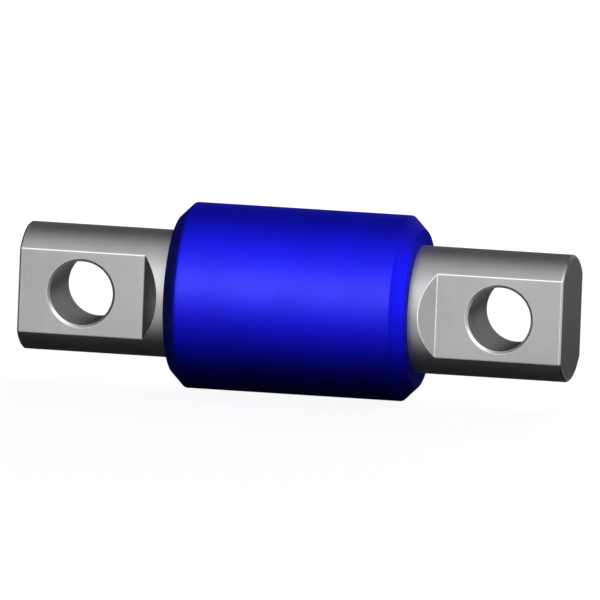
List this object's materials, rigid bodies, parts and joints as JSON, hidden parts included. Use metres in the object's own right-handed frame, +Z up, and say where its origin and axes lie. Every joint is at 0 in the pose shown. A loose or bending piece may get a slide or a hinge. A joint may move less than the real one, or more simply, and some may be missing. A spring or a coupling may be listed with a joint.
{
  "type": "torque rod bushing",
  "caption": "Torque rod bushing: a round steel bar pin with milled flats and a cross-drilled bolt hole at each end, its middle bonded into a blue elastomer sleeve with chamfered ends.",
  "frame": {"origin": "centre of the part, on the bar's axis, halfway between the two bolt holes", "axes": "+X along the bar pin, +Y along the bolt holes and square to the flats, +Z up"},
  "size_m": [0.1794, 0.0602, 0.0602],
  "materials": {
    "machined_steel": "bright machined, satin",
    "blue_elastomer": "moulded, semi-gloss"
  },
  "bodies": {
    "root": {"bar_pin": "machined_steel", "bushing": "blue_elastomer"}
  },
  "joints": []
}
